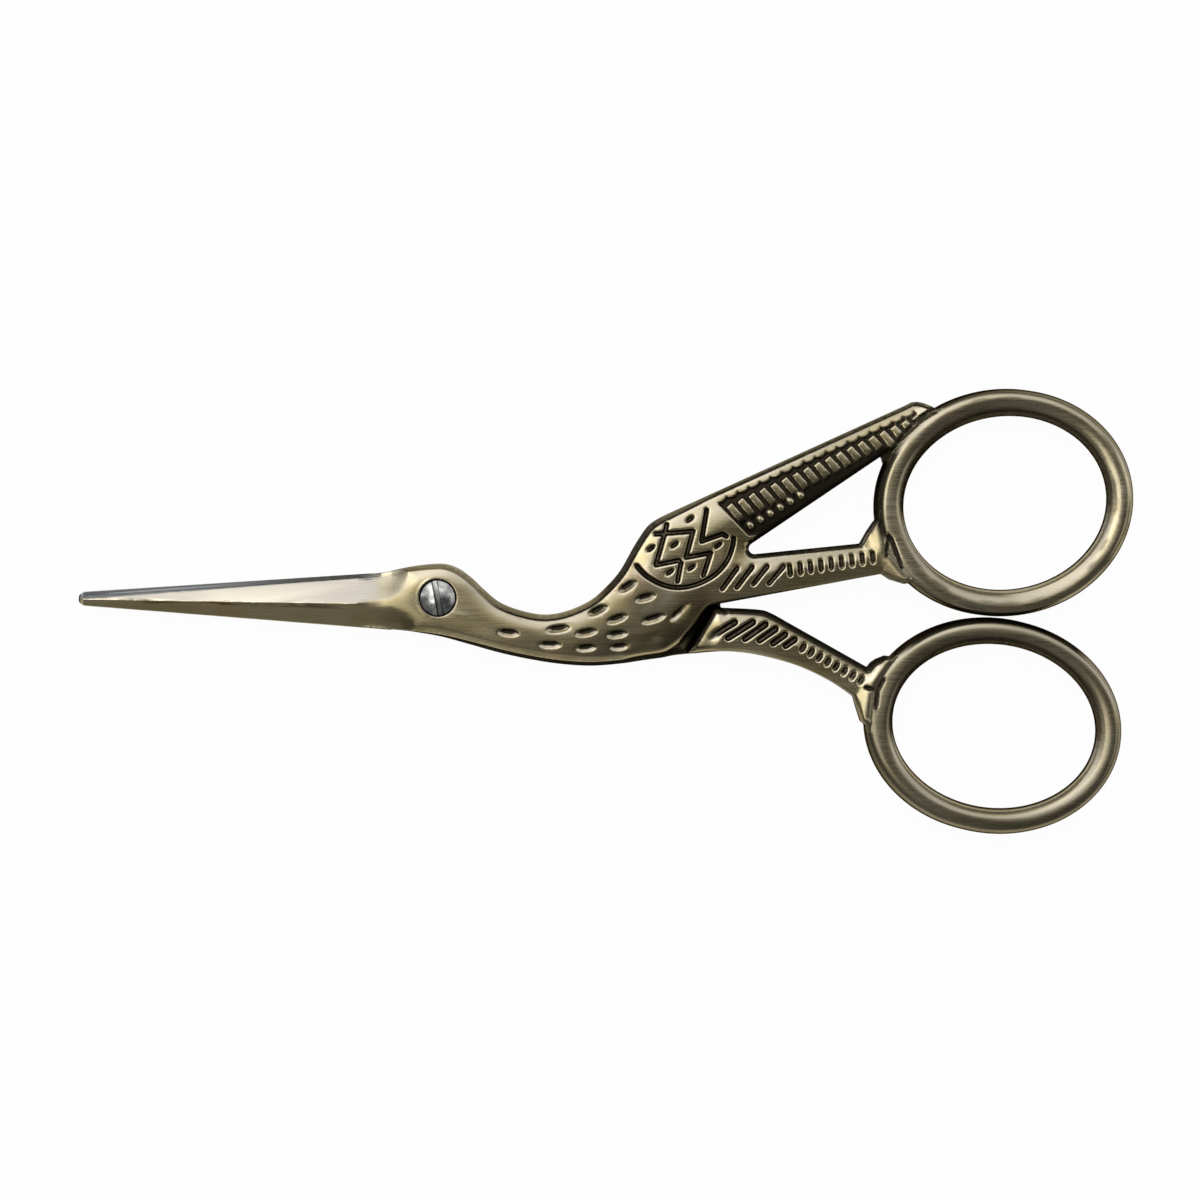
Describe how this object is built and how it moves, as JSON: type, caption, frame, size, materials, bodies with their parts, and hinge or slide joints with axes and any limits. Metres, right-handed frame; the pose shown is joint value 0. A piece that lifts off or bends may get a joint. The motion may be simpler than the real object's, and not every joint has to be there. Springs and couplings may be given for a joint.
{
  "type": "embroidery scissors",
  "caption": "Small embroidery scissors in the traditional stork shape: cast halves with slim blades, carved handle and oval finger rings, turning on a slotted screw.",
  "frame": {"origin": "on the pivot axis, at the flat underside, where the screw's end is flush with the back half", "axes": "+X from the blade tips towards the finger rings, +Y towards the upper ring, +Z along the pivot axis towards the screw head"},
  "size_m": [0.115, 0.0485, 0.0045],
  "materials": {
    "antique_bronze": "brushed antique bronze plating with dark patina in the carving",
    "screw_steel": "bare bright steel"
  },
  "bodies": {
    "back_half": {"back_half": "antique_bronze", "pivot_screw": "screw_steel"},
    "front_half": {"front_half": "antique_bronze"}
  },
  "joints": [
    {"name": "pivot", "type": "hinge", "parent": "back_half", "child": "front_half", "pos_m": [0, 0, 0.0021], "axis": [0, 0, 1], "range_deg": [0, 90]}
  ]
}
